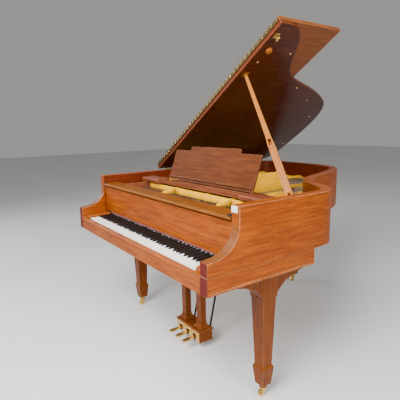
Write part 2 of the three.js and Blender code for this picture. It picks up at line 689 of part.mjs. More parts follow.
function casterFork() {
  const { width, trail, pin, radius } = CASTER;
  const crown = WHEEL_Z + radius + 3;
  const half = width / 2;
  const cheek = (x) => alongX(
    [[-13, crown + 1], [13, crown + 1], [13, crown - 6], [-trail + 7, WHEEL_Z - 7],
      [-trail - 7, WHEEL_Z - 7]].reverse(), x);
  const body = join(
    rodZ(18, [crown, crown + 6], 0, 0, 16), rodZ(9, [crown + 4, LEG.foot - GAP], 0, 0, 12),
    cheek([half + 1.2, half + 4]), cheek([-half - 4, -half - 1.2]),
  );
  return cut(body, rodX(pin + GAP, [-30, 30], -trail, WHEEL_Z, 16));
}

function casterWheel() {
  const { radius, width, pin, trail } = CASTER;
  const wheel = new THREE.CylinderGeometry(radius, radius, width, WHEEL_SIDES)
    .rotateY(Math.PI / WHEEL_SIDES).rotateZ(Math.PI / 2);
  return join(wheel, rodX(pin, [-width / 2 - 5, width / 2 + 5], 0, 0, 12))
    .translate(0, -trail, WHEEL_Z);
}

// ---------------------------------------------------------------- pedal lyre
const PEDAL_X = [-PEDAL.spacing, 0, PEDAL.spacing].map((x) => LYRE.centre + x);
const pedalSlots = () => PEDAL_X.map((x) =>
  box([x - 16, x + 16], [LYRE.front - 12, LYRE.back - 6], [LYRE.bottom - 5, LYRE.bottom + 48]));

// Two posts between a head block and the pedal box, in one glued frame.
function lyreFrame() {
  const { x, front, back, bottom, boxTop, postX, centre } = LYRE;
  const middle = (front + back) / 2;
  const post = (at) => squareTurning([[boxTop - 2, 34], [boxTop + 8, 34], [boxTop + 14, 27],
    [boxTop + 30, 20], [BASE.bottom - 24, 22], [BASE.bottom - 18, 22]]).translate(at, middle, 0);
  const frame = join(
    box([-x, x], [front, back], [bottom, boxTop]),
    box([-x - 5, x + 5], [front - 4, back + 5], [boxTop - 12, boxTop - 3]),
    post(-postX), post(postX),
    box([-postX - 40, postX + 40], [middle - 38, middle + 38],
      [BASE.bottom - 20, BASE.bottom - GAP]),
  );
  return cut(frame.translate(centre, 0, 0), ...pedalSlots());
}

function pedalPlate() {
  const { x, front, bottom, boxTop, centre } = LYRE;
  const plate = box([centre - x + 2, centre + x - 2], [front - 3.4, front - GAP],
    [bottom + 2, boxTop - 13]);
  return cut(plate, ...pedalSlots());
}

// One pedal in plan: a narrow lever that widens to a rounded toe.
function pedal() {
  const length = PEDAL.pivotY - PEDAL.tip;
  const shape = new THREE.Shape();
  shape.moveTo(-7, 8);
  shape.lineTo(-7, -90);
  shape.bezierCurveTo(-9, -115, -15, -125, -14, -length + 12);
  shape.bezierCurveTo(-12, -length, 12, -length, 14, -length + 12);
  shape.bezierCurveTo(15, -125, 9, -115, 7, -90);
  shape.lineTo(7, 8);
  return upright(shape, [-PEDAL.thick / 2, PEDAL.thick / 2], 6);
}

const lyreRod = (side) =>
  rodBetween([LYRE.centre + side * 84, LYRE.back + 8, LYRE.bottom + 40],
    [LYRE.centre + side * 84, 604, BASE.bottom - 4], 6);

// ---------------------------------------------------------------- assembly
const piano = new THREE.Group();

function add(name, geometry, material, parent = piano) {
  const mesh = new THREE.Mesh(geometry, material);
  mesh.name = name;
  parent.add(mesh);
  return mesh;
}

function addCase() {
  add("outer_rim", outerRim(), MATERIAL.mahogany);
  add("inner_rim", innerRim(), MATERIAL.innerVeneer);
  add("base_rail_left", baseRail(-1), MATERIAL.mahogany);
  add("base_rail_right", baseRail(1), MATERIAL.mahogany);
  add("keybed", keybed(), MATERIAL.mahogany);
  add("belly_rail", bellyRail(), MATERIAL.maple);
  add("rim_braces", rimBraces(), MATERIAL.maple);
  add("stretcher", stretcher(), MATERIAL.mahogany);
  add("pin_block", pinBlock(), MATERIAL.maple);
  add("soundboard", soundboard(), MATERIAL.spruce);
  add("treble_bridge", trebleBridge(), MATERIAL.maple);
  add("bass_bridge", bassBridge(), MATERIAL.maple);
  add("cast_iron_plate", ironPlate(), MATERIAL.gold);
  add("treble_strings", trebleStrings(), MATERIAL.steel);
  add("bass_strings", bassStrings(), MATERIAL.brass);
}

function addKeyboard() {
  add("key_frame", keyFrame(), MATERIAL.maple);
  add("natural_keys", naturalKeys(), MATERIAL.ivory);
  add("sharp_keys", sharpKeys(), MATERIAL.ebony);
  const [c, d, e] = PLAYED.naturals;
  add("key_c4", natural(c, PLAYED_BACK), MATERIAL.ivory);
  add("key_d4", natural(d, PLAYED_BACK), MATERIAL.ivory);
  add("key_e4", natural(e, PLAYED_BACK), MATERIAL.ivory);
  add("key_c_sharp4", sharp(c, PLAYED_BACK), MATERIAL.ebony);
  add("key_d_sharp4", sharp(d, PLAYED_BACK), MATERIAL.ebony);
  add("action_stack", actionStack(), MATERIAL.maple);
  add("hammers", hammers(), MATERIAL.felt);
  add("dampers", dampers(), MATERIAL.ebony);
  add("keyslip", keyslip(), MATERIAL.mahogany);
  add("key_block_left", keyBlock(-1), MATERIAL.mahogany);
  add("key_block_right", keyBlock(1), MATERIAL.mahogany);
  add("fallboard", fallboard(), MATERIAL.mahogany);
}

function addLid() {
  const lid = new THREE.Group();
  lid.position.set(LID_AXIS.x, 0, LID_AXIS.z);
  lid.rotation.y = -rad(LID.open);
  piano.add(lid);
  const closed = (geometry) => geometry.translate(-LID_AXIS.x, 0, -LID_AXIS.z);
  add("lid_main", closed(lidMain()), MATERIAL.innerVeneer, lid);
  add("lid_front", closed(lidFront()), MATERIAL.mahogany, lid);
  add("lid_piano_hinge", closed(lidPianoHinge()), MATERIAL.brass, lid);
  add("prop_cup", closed(propCup()), MATERIAL.brass, lid);
  add("lid_hinge_front", spineHinge(LID.edge + 110), MATERIAL.brass);
  add("lid_hinge_rear", spineHinge(CASE.length - 300), MATERIAL.brass);
}

function addProp() {
  const { base, matrix } = propFrame();
  const prop = new THREE.Group();
  prop.quaternion.setFromRotationMatrix(matrix);
  prop.position.copy(base);
  piano.add(prop);
  add("prop_stick", propStick(), MATERIAL.propWood, prop);
  add("prop_short", propShort(), MATERIAL.propWood, prop);
  add("prop_bracket", propBracket(), MATERIAL.brass);
}

function addDesk() {
  const panel = new THREE.Group();
  panel.position.set(0, DESK.foot, DESK.hingeZ);
  panel.rotation.x = -rad(DESK.lean);
  piano.add(panel);
  add("desk_panel", deskPanel(), MATERIAL.mahogany, panel);
  const brace = add("desk_brace", deskBrace(), MATERIAL.mahogany);
  brace.position.set(0, BRACE.foot, BRACE.z);
  brace.rotation.x = rad(BRACE.lean);
  add("desk_tray", deskTray(), MATERIAL.mahogany);
  add("desk_rail_left", deskRail(-1), MATERIAL.mahogany);
  add("desk_rail_right", deskRail(1), MATERIAL.mahogany);
}

function addLegs() {
  const front = BASE.bottom - GAP;
  const stands = [
    ["front_left", -LEG.x, LEG.y, front, LEG.frontKnee],
    ["front_right", LEG.x, LEG.y, front, LEG.frontKnee],
    ["rear", LEG.rearX, LEG.rearY, CASE.bottom, LEG.rearKnee],
  ];
  for (const [name, x, y, head, kneeBehind] of stands) {
    add(`leg_${name}`, leg(head, kneeBehind).translate(x, y, 0), MATERIAL.mahogany);
    add(`caster_fork_${name}`, casterFork().translate(x, y, 0), MATERIAL.brass);
    add(`caster_wheel_${name}`, casterWheel().translate(x, y, 0), MATERIAL.brass);
  }
}

function addLyre() {
  add("lyre_frame", lyreFrame(), MATERIAL.mahogany);
  add("pedal_plate", pedalPlate(), MATERIAL.brass);
  ["left", "middle", "right"].forEach((name, i) => {
    const lever = add(`pedal_${name}`, pedal(), MATERIAL.brass);
    lever.position.set(PEDAL_X[i], PEDAL.pivotY, PEDAL.pivotZ);
    lever.rotation.x = rad(PEDAL.rest);
  });
  add("lyre_rod_left", lyreRod(-1), MATERIAL.ebony);
  add("lyre_rod_right", lyreRod(1), MATERIAL.ebony);
}

addCase();
addKeyboard();
addLid();
addProp();
addDesk();
addLegs();
addLyre();

// The origin is the middle of the footprint, on the floor.
const bounds = new THREE.Box3().setFromObject(piano, true);
const centre = bounds.getCenter(new THREE.Vector3());
piano.position.set(-centre.x, -centre.y, -bounds.min.z);

export default piano;
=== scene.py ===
"""The looks of the grand piano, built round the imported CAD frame.

Lengths are metres. Pieces are laid out from the front of the case arms (Y 0) and the middle of the case
(X 0), the way the CAD part is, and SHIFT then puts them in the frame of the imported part.
"""

import math

import bmesh
import bpy
from mathutils import Matrix, Vector


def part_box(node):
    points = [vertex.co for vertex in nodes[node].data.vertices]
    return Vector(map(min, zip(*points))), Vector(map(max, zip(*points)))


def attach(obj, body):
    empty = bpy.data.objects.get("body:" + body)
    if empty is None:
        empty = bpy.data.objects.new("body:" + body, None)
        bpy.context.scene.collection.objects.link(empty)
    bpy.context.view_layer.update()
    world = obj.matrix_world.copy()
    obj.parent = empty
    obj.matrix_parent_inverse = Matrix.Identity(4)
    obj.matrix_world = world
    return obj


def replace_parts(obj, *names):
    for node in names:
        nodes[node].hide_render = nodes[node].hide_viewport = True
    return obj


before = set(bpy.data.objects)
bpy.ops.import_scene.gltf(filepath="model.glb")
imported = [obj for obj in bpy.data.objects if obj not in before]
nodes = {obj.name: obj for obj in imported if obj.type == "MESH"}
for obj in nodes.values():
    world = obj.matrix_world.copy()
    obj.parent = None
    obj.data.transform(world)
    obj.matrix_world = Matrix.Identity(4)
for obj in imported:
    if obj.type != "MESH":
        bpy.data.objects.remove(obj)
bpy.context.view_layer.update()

# ------------------------------------------------------------------ where things are
RIM_LO, RIM_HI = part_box("outer_rim")
SHIFT = Vector(((RIM_LO.x + RIM_HI.x) / 2, RIM_LO.y, 0))
SIDE = (RIM_HI.x - RIM_LO.x) / 2
LENGTH = RIM_HI.y - RIM_LO.y
RIM_TOP = RIM_HI.z
RIM_BOTTOM = RIM_LO.z
RIM_WALL = 0.050
STRAIGHT = 0.690  # where the treble side starts to bend
SCROLL_BACK = 0.166
BODY, SCROLL, ARM_FRONT, LINING = range(4)  # the finishes of the rim's faces

LID_OPEN = math.radians(32)
LID_AXIS = Vector((-SIDE - 0.0055, 0, 0.9942))
LID_UNDER = 0.9965
LID_THICK = 0.022
LID_EDGE = 0.628
BUTTON_HEIGHT = 0.0042  # just less than the gap between the rim and the closed lid
# Places on the lid's underside: along from the spine, and back from the front of the case.
LID_BUTTONS = ((1.299, 0.858), (1.213, 0.687), (1.024, 1.180), (0.898, 1.408), (0.700, 1.640),
               (0.300, 1.720))
LATCH = (1.403, 0.660)
SHORT_PROP_CUP = (1.305, 0.689)

PROP_FOOT = Vector((0.650, 0.560, 0.962))
PROP_ALONG = 1.114  # from the spine to the cup, along the lid
PROP_Y = 0.675
STOW_AZIMUTH = math.radians(40)
STOW_DIP = math.radians(2)

STRING_Z = 0.8862
BASS_RISE = 0.008
PLATE_TOP = 0.881
NOTE_PITCH = 0.0124
TREBLE_FIRST, TREBLE_COUNT = -0.200, 63
BASS_FIRST, BASS_COUNT, BASS_DRIFT = -0.568, 25, 0.026
RIB_X = (-0.640, -0.228, 0.100, 0.328, 0.560)
PIN_Y = 0.384  # the front row of tuning pins

BOLT_SPACING = 0.160  # along the flange of the plate
BOLTS_START = 0.660  # in front of this there are only the four bolts on the front web

LYRE_X = 0.012  # the lyre stands a little to the treble side
LYRE_POST = 0.080  # from the middle of the lyre to each post
LEG_Y = 0.392
LEG_SHOULDER = 0.522

CAMERA_PLACE = Vector((1.8973, -0.8375, 1.3023))
CAMERA_YAW, CAMERA_PITCH, CAMERA_ROLL = 0.9602, 0.1821, -0.0229  # radians
CAMERA_SENSOR, CAMERA_LENS = 36, 35.388  # millimetres


def layout_box(node):
    """The corners of a CAD node, in the frame the pieces are laid out in."""
    low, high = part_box(node)
    return low - SHIFT, high - SHIFT


# ------------------------------------------------------------------ material nodes
class Tree:
    """A material's node tree, with short ways to add the nodes used here."""

    def __init__(self, name):
        self.material = bpy.data.materials.new(name)
        self.material.use_nodes = True
        self.nodes = self.material.node_tree.nodes
        self.links = self.material.node_tree.links
        self.shader = self.nodes["Principled BSDF"]
        self.object_point = self.nodes.new("ShaderNodeTexCoord").outputs["Object"]

    def put(self, socket, value):
        if hasattr(value, "is_linked"):
            self.links.new(value, socket)
        else:
            socket.default_value = value

    def stretched(self, scale):
        mapping = self.nodes.new("ShaderNodeMapping")
        self.links.new(self.object_point, mapping.inputs["Vector"])
        mapping.inputs["Scale"].default_value = scale
        return mapping.outputs["Vector"]

    def noise(self, vector, scale, detail=3.0, roughness=0.5, distortion=0.0):
        node = self.nodes.new("ShaderNodeTexNoise")
        self.links.new(vector, node.inputs["Vector"])
        node.inputs["Scale"].default_value = scale
        node.inputs["Detail"].default_value = detail
        node.inputs["Roughness"].default_value = roughness
        node.inputs["Distortion"].default_value = distortion
        return node.outputs["Fac"]

    def ramp(self, value, stops):
        """Colours, or grey levels, at positions along a value."""
        node = self.nodes.new("ShaderNodeValToRGB")
        self.links.new(value, node.inputs["Fac"])
        elements = node.color_ramp.elements
        while len(elements) < len(stops):
            elements.new(0.5)
        for element, (position, color) in zip(elements, stops):
            element.position = position
            grey = isinstance(color, (int, float))
            element.color = (color, color, color, 1) if grey else (*color, 1)
        return node.outputs["Color"]

    def math(self, operation, a, b=0.0):
        node = self.nodes.new("ShaderNodeMath")
        node.operation = operation
        self.put(node.inputs[0], a)
        self.put(node.inputs[1], b)
        return node.outputs[0]

    def mix(self, share, a, b, blend="MIX"):
        node = self.nodes.new("ShaderNodeMix")
        node.data_type = "RGBA"
        node.blend_type = blend
        self.put(node.inputs[0], share)
        self.put(node.inputs[6], a if hasattr(a, "is_linked") else (*a, 1))
        self.put(node.inputs[7], b if hasattr(b, "is_linked") else (*b, 1))
        return node.outputs[2]

    def mix_vector(self, share, a, b):
        node = self.nodes.new("ShaderNodeMix")
        node.data_type = "VECTOR"
        self.put(node.inputs[0], share)
        self.put(node.inputs[4], a)
        self.put(node.inputs[5], b)
        return node.outputs[1]

    def facing_up(self):
        """1 on level faces, 0 on upright ones."""
        geometry = self.nodes.new("ShaderNodeNewGeometry")
        split = self.nodes.new("ShaderNodeSeparateXYZ")
        self.links.new(geometry.outputs["Normal"], split.inputs[0])
        return self.math("GREATER_THAN", self.math("ABSOLUTE", split.outputs[2]), 0.7)

    def edges(self, radius):
        """1 along the edges of a piece, 0 on its faces."""
        bevel = self.nodes.new("ShaderNodeBevel")
        bevel.samples = 4
        bevel.inputs["Radius"].default_value = radius
        geometry = self.nodes.new("ShaderNodeNewGeometry")
        dot = self.nodes.new("ShaderNodeVectorMath")
        dot.operation = "DOT_PRODUCT"
        self.links.new(bevel.outputs["Normal"], dot.inputs[0])
        self.links.new(geometry.outputs["True Normal"], dot.inputs[1])
        return self.ramp(dot.outputs["Value"], [(0.86, 1.0), (0.985, 0.0)])

    def corners(self, distance):
        """Painted shade: dark in the inside corners, where little ambient light reaches, white elsewhere."""
        shade = self.nodes.new("ShaderNodeAmbientOcclusion")
        shade.samples = 8
        shade.inputs["Distance"].default_value = distance
        return self.ramp(shade.outputs["AO"], [(0.35, 0.16), (0.85, 1.0)])

    def bump(self, height, strength, distance=0.001):
        node = self.nodes.new("ShaderNodeBump")
        node.inputs["Strength"].default_value = strength
        node.inputs["Distance"].default_value = distance
        self.links.new(height, node.inputs["Height"])
        self.links.new(node.outputs["Normal"], self.shader.inputs["Normal"])

    def set(self, **values):
        names = {"color": "Base Color", "roughness": "Roughness", "metallic": "Metallic",
                 "coat": "Coat Weight", "coat_roughness": "Coat Roughness",
                 "specular": "Specular IOR Level", "sheen": "Sheen Weight"}
        for key, value in values.items():
            self.put(self.shader.inputs[names[key]], value)


ALONG, ACROSS = 4.2, 64  # how often the grain changes, per metre
LENGTHWISE = {"x": (ALONG, ACROSS, ACROSS), "y": (ACROSS, ALONG, ACROSS), "z": (ACROSS, ACROSS, ALONG)}


def wood(name, dark, middle, light, along, worn=(0.70, 0.36, 0.13), wear=0.6, gloss=0.40, figure=0.8,
         shine=0.14):
    """Lacquered wood: streaks and pores run along one axis, or round the case if along is 'rim'."""
    tree = Tree(name)
    if along == "rim":
        level, standing = tree.stretched(LENGTHWISE["y"]), tree.stretched((ALONG, ALONG, ACROSS))
        vector = tree.mix_vector(tree.facing_up(), standing, level)
    else:
        vector = tree.stretched(LENGTHWISE[along])
    streaks = tree.noise(vector, 1.5, 7, 0.66, 0.25)
    fine = tree.noise(vector, 8.0, 4, 0.7)
    patches = tree.noise(tree.object_point, 3.2, 2, 0.5, 0.8)
    grain = tree.ramp(streaks, [(0.26, dark), (0.50, middle), (0.76, light)])
    shaded = tree.mix(0.5 * figure, grain, tree.ramp(patches, [(0.3, 0.62), (0.7, 1.0)]), "MULTIPLY")
    pores = tree.ramp(fine, [(0.34, 0.42), (0.56, 1.0)])
    body = tree.mix(0.5, shaded, pores, "MULTIPLY")
    scuffs = tree.ramp(tree.noise(tree.object_point, 34, 3, 0.6), [(0.36, 0.40), (0.58, 1.0)])
    edge = tree.math("MULTIPLY", tree.math("MULTIPLY", tree.edges(0.0022), scuffs), wear)
    tree.set(color=tree.mix(edge, body, worn), coat=0.03, coat_roughness=0.25, specular=shine)
    smudges = tree.noise(tree.object_point, 7, 3, 0.6)
    tree.set(roughness=tree.ramp(smudges, [(0.3, gloss - 0.06), (0.7, gloss + 0.10)]))
    tree.bump(fine, 0.10, 0.0006)
    return tree.material


def metal(name, color, tarnish, roughness, grain=60):
    tree = Tree(name)
    spots = tree.noise(tree.object_point, grain, 4, 0.6)
    worn = tree.ramp(spots, [(0.35, tarnish), (0.6, color)])
    edge = tree.math("MULTIPLY", tree.edges(0.0012), 0.5)
    bright = tuple(min(1.0, c * 1.25) for c in color)
    tree.set(color=tree.mix(edge, worn, bright), metallic=1.0)
    tree.set(roughness=tree.ramp(spots, [(0.3, roughness + 0.15), (0.7, roughness)]))
    tree.bump(spots, 0.08, 0.0005)
    return tree.material


def gold_paint(name):
    """Bronze paint on cast iron: satin, with the fine orange skin of a casting, and painted shade darkening
    its inside corners.
    """
    tree = Tree(name)
    skin = tree.noise(tree.object_point, 260, 3, 0.6)
    patches = tree.noise(tree.object_point, 9, 3, 0.6)
    color = tree.ramp(patches, [(0.3, (0.72, 0.34, 0.002)), (0.7, (0.92, 0.48, 0.004))])
    edge = tree.math("MULTIPLY", tree.edges(0.002), 0.5)
    painted = tree.mix(edge, color, (1.0, 0.66, 0.08))
    # Painted shade: the paint colour is multiplied by an ambient occlusion mask, so it darkens in the inside
    # corners.
    tree.set(color=tree.mix(1.0, painted, tree.corners(0.05), "MULTIPLY"), metallic=0.0, specular=0.08)
    tree.set(roughness=tree.ramp(patches, [(0.3, 0.46), (0.7, 0.34)]))
    tree.bump(skin, 0.22, 0.0006)
    return tree.material


def plastic(name, low, high, roughness, coat=0.4, shine=0.5):
    tree = Tree(name)
    tone = tree.noise(tree.stretched((1, 0.2, 1)), 70, 3, 0.6)
    worn = tuple(min(1.0, 1.6 * c + 0.01) for c in high)
    edge = tree.math("MULTIPLY", tree.edges(0.0008), 0.35)
    tree.set(color=tree.mix(edge, tree.ramp(tone, [(0.3, low), (0.7, high)]), worn))
    tree.set(roughness=tree.ramp(tone, [(0.3, roughness), (0.7, roughness + 0.1)]), coat=coat, specular=shine)
    tree.bump(tone, 0.03, 0.0004)
    return tree.material


def felt(name, low, high):
    tree = Tree(name)
    fuzz = tree.noise(tree.object_point, 900, 4, 0.8)
    tree.set(color=tree.ramp(fuzz, [(0.3, low), (0.7, high)]), roughness=0.95, sheen=0.3)
    tree.bump(fuzz, 0.5, 0.0006)
    return tree.material


WALNUT = ((0.120, 0.020, 0.001), (0.255, 0.048, 0.001), (0.410, 0.094, 0.001))
LEG_WALNUT = ((0.066, 0.013, 0.001), (0.148, 0.033, 0.002), (0.232, 0.057, 0.003))
BROWN = ((0.052, 0.009, 0.001), (0.099, 0.021, 0.001), (0.159, 0.039, 0.003))
INNER = ((0.026, 0.004, 0.001), (0.057, 0.009, 0.001), (0.099, 0.019, 0.003))

CASE_WOOD = wood("case_wood", *WALNUT, "rim", worn=(0.791, 0.533, 0.292), wear=0.9)
WOOD_X = wood("wood_x", *WALNUT, "x")
WOOD_Y = wood("wood_y", *WALNUT, "y", worn=(0.791, 0.533, 0.292), wear=0.9)
WOOD_Z = wood("wood_z", *LEG_WALNUT, "z", wear=0.35)
LYRE_WOOD = wood("lyre_wood", *LEG_WALNUT, "x", wear=0.45)
ARM_RED = wood("arm_red", (0.045, 0.002, 0.000), (0.095, 0.003, 0.000), (0.150, 0.007, 0.001), "z",
               wear=0.3)
SCROLL_WOOD = wood("scroll_wood", (0.095, 0.028, 0.007), (0.172, 0.053, 0.014), (0.275, 0.095, 0.026), "y",
                   worn=(0.516, 0.344, 0.206), gloss=0.28)
TOP_WOOD = wood("top_wood", (0.086, 0.022, 0.003), (0.181, 0.052, 0.005), (0.310, 0.105, 0.012), "x",
                worn=(0.516, 0.292, 0.103), gloss=0.42, figure=1.0, shine=0.06)
DESK_WOOD = wood("desk_wood", *BROWN, "x", worn=(0.533, 0.344, 0.206), gloss=0.56)
TRAY_WOOD = wood("tray_wood", (0.086, 0.021, 0.009), (0.163, 0.043, 0.019), (0.258, 0.082, 0.036), "x")
LID_INNER = wood("lid_inner", *INNER, "y", worn=(0.430, 0.206, 0.103), wear=0.8, gloss=0.24)
LID_OUTER = wood("lid_outer", (0.095, 0.024, 0.005), (0.172, 0.048, 0.011), (0.258, 0.084, 0.022), "y")
LID_SIDES = wood("lid_sides", (0.060, 0.010, 0.003), (0.112, 0.021, 0.004), (0.172, 0.036, 0.009), "y",
                 worn=(0.430, 0.189, 0.086))
PROP_WOOD = wood("prop_wood", (0.22, 0.060, 0.006), (0.34, 0.105, 0.012), (0.48, 0.17, 0.025), "z",
                 worn=(0.60, 0.28, 0.08), wear=0.35, figure=0.4, shine=0.08)
RIM_INNER = wood("rim_inner", (0.065, 0.008, 0.002), (0.120, 0.016, 0.003), (0.181, 0.029, 0.007), "rim",
                 wear=0.3, gloss=0.3)
MAPLE = wood("maple", (0.38, 0.24, 0.12), (0.52, 0.35, 0.19), (0.64, 0.46, 0.27), "x", wear=0.1,
             gloss=0.5, figure=0.4)
SPRUCE = wood("spruce", (0.36, 0.19, 0.06), (0.50, 0.29, 0.11), (0.62, 0.40, 0.18), "y", wear=0.1,
              gloss=0.4, figure=0.4)
GOLD = gold_paint("gold_paint")
BRASS = metal("brass", (0.86, 0.60, 0.20), (0.48, 0.28, 0.08), 0.22)
AGED_BRASS = metal("aged_brass", (0.16, 0.115, 0.045), (0.05, 0.036, 0.015), 0.36, 400)
STEEL = metal("steel", (0.42, 0.42, 0.41), (0.22, 0.22, 0.21), 0.3)
PIN_STEEL = metal("pin_steel", (0.13, 0.14, 0.16), (0.05, 0.05, 0.06), 0.34)
COPPER = metal("copper_wire", (0.72, 0.36, 0.18), (0.42, 0.18, 0.08), 0.3)
IVORY = plastic("ivory", (0.93, 0.90, 0.83), (0.99, 0.97, 0.92), 0.22)
EBONY = plastic("ebony", (0.003, 0.003, 0.003), (0.008, 0.007, 0.007), 0.30, 0.0, 0.15)
RUBBER = plastic("rubber", (0.008, 0.008, 0.008), (0.02, 0.02, 0.02), 0.6, 0.0, 0.1)
CREAM = plastic("cream_button", (0.70, 0.62, 0.48), (0.84, 0.78, 0.64), 0.4)
BUFFER = plastic("lid_buffer", (0.24, 0.13, 0.07), (0.36, 0.21, 0.12), 0.5, 0.0)
RED_FELT = felt("red_felt", (0.22, 0.01, 0.012), (0.36, 0.022, 0.02))
WHITE_FELT = felt("white_felt", (0.66, 0.62, 0.54), (0.82, 0.79, 0.72))

CAD_FINISH = {
    WOOD_X: ["keybed", "keyslip", "fallboard"],
    LYRE_WOOD: ["lyre_frame"],
    WOOD_Y: ["base_rail_left", "base_rail_right", "key_block_left", "key_block_right"],
    WOOD_Z: ["leg_front_left", "leg_front_right", "leg_rear"],
    TOP_WOOD: ["stretcher"],
    RIM_INNER: ["inner_rim"],
    LID_OUTER: ["lid_front"],
    DESK_WOOD: ["desk_panel", "desk_brace"],
    TRAY_WOOD: ["desk_tray", "desk_rail_left", "desk_rail_right"],
    MAPLE: ["belly_rail", "rim_braces", "pin_block", "key_frame", "action_stack", "treble_bridge",
            "bass_bridge"],
    SPRUCE: ["soundboard"],
    GOLD: ["cast_iron_plate"],
    BRASS: ["prop_cup", "lid_hinge_front", "lid_hinge_rear", "prop_bracket", "pedal_plate",
            "pedal_left", "pedal_middle", "pedal_right"]
           + [f"caster_{part}_{place}" for part in ("fork", "wheel")
              for place in ("front_left", "front_right", "rear")],
    AGED_BRASS: ["lid_piano_hinge"],
    IVORY: ["natural_keys", "key_c4", "key_d4", "key_e4"],
    EBONY: ["sharp_keys", "key_c_sharp4", "key_d_sharp4", "dampers", "lyre_rod_left",
            "lyre_rod_right"],
    WHITE_FELT: ["hammers"],
    PROP_WOOD: ["prop_short"],
}
# How far the sharp edges of the CAD solids are rounded, where it isn't the usual 1 mm.
ROUNDED = {
    "leg_front_left": 0.002, "leg_front_right": 0.002, "leg_rear": 0.002, "stretcher": 0.003,
    "keyslip": 0.003, "cast_iron_plate": 0.0022, "pedal_left": 0.003, "pedal_middle": 0.003,
    "pedal_right": 0.003, "natural_keys": 0.0007, "sharp_keys": 0.0012, "key_c4": 0.0007,
    "key_d4": 0.0007, "key_e4": 0.0007, "key_c_sharp4": 0.0012, "key_d_sharp4": 0.0012,
    "fallboard": 0.004, "lid_front": 0.002, "dampers": 0.0008,
    "lid_piano_hinge": 0.0003, "prop_cup": 0.0004, "lid_hinge_front": 0.0004,
    "lid_hinge_rear": 0.0004, "desk_tray": 0.002,
}


def smooth_by_angle(mesh, degrees=32):
    mesh.polygons.foreach_set("use_smooth", [True] * len(mesh.polygons))
    mesh.set_sharp_from_angle(angle=math.radians(degrees))


def round_edges(obj, width, degrees=32):
    bevel = obj.modifiers.new("rounded", "BEVEL")
    bevel.width = width
    bevel.segments = 2
    bevel.limit_method = "ANGLE"
    bevel.angle_limit = math.radians(degrees)
    bevel.harden_normals = True


def dress_cad_nodes():
    for material, names in CAD_FINISH.items():
        for name in names:
            mesh = nodes[name].data
            mesh.materials.clear()
            mesh.materials.append(material)
            smooth_by_angle(mesh)
            round_edges(nodes[name], ROUNDED.get(name, 0.001))


# ------------------------------------------------------------------ building pieces
def piece(name, bm, material, body, rounded=0.0, degrees=32):
    """Turns a bmesh, laid out in piano coordinates, into a piece that rides on a body."""
    bmesh.ops.recalc_face_normals(bm, faces=bm.faces)
    mesh = bpy.data.meshes.new(name)
    bm.to_mesh(mesh)
    bm.free()
    mesh.transform(Matrix.Translation(SHIFT))
    mesh.materials.append(material)
    obj = bpy.data.objects.new(name, mesh)
    bpy.context.scene.collection.objects.link(obj)
    smooth_by_angle(mesh, degrees)
    if rounded:
        round_edges(obj, rounded, degrees=degrees)
    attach(obj, body)
    return obj


def add_prism(bm, outline, low, high, turn=None):
    """A plan outline standing from low to high, then turned by a matrix."""
    turn = turn or Matrix.Identity(4)
    bottom = [bm.verts.new(turn @ Vector((x, y, low))) for x, y in outline]
    top = [bm.verts.new(turn @ Vector((x, y, high))) for x, y in outline]
    bm.faces.new(bottom[::-1])
    bm.faces.new(top)
    for i in range(len(outline)):
        j = (i + 1) % len(outline)
        bm.faces.new((bottom[i], bottom[j], top[j], top[i]))


def add_box(bm, low, high, turn=None):
    outline = [(low[0], low[1]), (high[0], low[1]), (high[0], high[1]), (low[0], high[1])]
    add_prism(bm, outline, low[2], high[2], turn)


def between(a, b):
    """The matrix that puts +Z along a to b, with its origin at a."""
    a, b = Vector(a), Vector(b)
    return Matrix.Translation(a) @ (b - a).to_track_quat("Z", "Y").to_matrix().to_4x4()


def add_rod(bm, a, b, radius, sides=12, top_radius=None):
    length = (Vector(b) - Vector(a)).length
    bmesh.ops.create_cone(bm, cap_ends=True, segments=sides, radius1=radius,
                          radius2=radius if top_radius is None else top_radius, depth=length,
                          matrix=between(a, b) @ Matrix.Translation((0, 0, length / 2)))


def add_turning(bm, profile, base, sides=20):
    """A round turning: (height, radius) pairs about an upright axis at base."""
    place = Matrix.Translation(base)
    rings = []
    for z, radius in profile:
        rings.append([bm.verts.new(place @ Vector((radius * math.cos(a), radius * math.sin(a), z)))
                      for a in (2 * math.pi * k / sides for k in range(sides))])
    for below, above in zip(rings, rings[1:]):
        for k in range(sides):
            j = (k + 1) % sides
            bm.faces.new((below[k], below[j], above[j], above[k]))
    bm.faces.new(rings[0][::-1])
    bm.faces.new(rings[-1])


def bezier(a, b, c, d, count):
    """Points along a curve, without its first."""
    points = []
    for i in range(1, count + 1):
        t = i / count
        s = 1 - t
        points.append(tuple(s**3 * p + 3 * s * s * t * q + 3 * s * t * t * r + t**3 * w
                            for p, q, r, w in zip(a, b, c, d)))
    return points


# ------------------------------------------------------------------ the case outline
def case_curve(front):
    """Plan of the case from the bass arm, round the tail, to the treble arm."""
    points = [(-SIDE, front), (-SIDE, LENGTH - 0.140)]
    points += bezier(points[-1], (-SIDE, LENGTH - 0.050), (-0.690, LENGTH), (-0.590, LENGTH), 12)
    points += bezier(points[-1], (-0.210, LENGTH), (0.040, LENGTH - 0.030), (0.150, 1.600), 20)
    points += bezier(points[-1], (0.215, 1.490), (0.262, 1.370), (0.300, 1.250), 10)
    points += bezier(points[-1], (0.340, 1.124), (0.355, 1.090), (0.400, 1.015), 10)
    points += bezier(points[-1], (0.475, 0.890), (SIDE, 0.870), (SIDE, STRAIGHT), 16)
    return points + [(SIDE, front)]


def moved_in(points, inset):
    """An open outline moved to its right-hand side by a distance."""
    result = []
    for i, point in enumerate(points):
        here = Vector(point)
        steps = []
        if i > 0:
            steps.append((here - Vector(points[i - 1])).normalized())
        if i < len(points) - 1:
            steps.append((Vector(points[i + 1]) - here).normalized())
        sides = [Vector((step.y, -step.x)) for step in steps]
        total = sum(sides, Vector((0, 0)))
        spread = 1 + sides[0].dot(sides[-1]) if len(sides) == 2 else 1
        moved = here + total * (inset / spread)
        result.append((moved.x, moved.y))
    return result


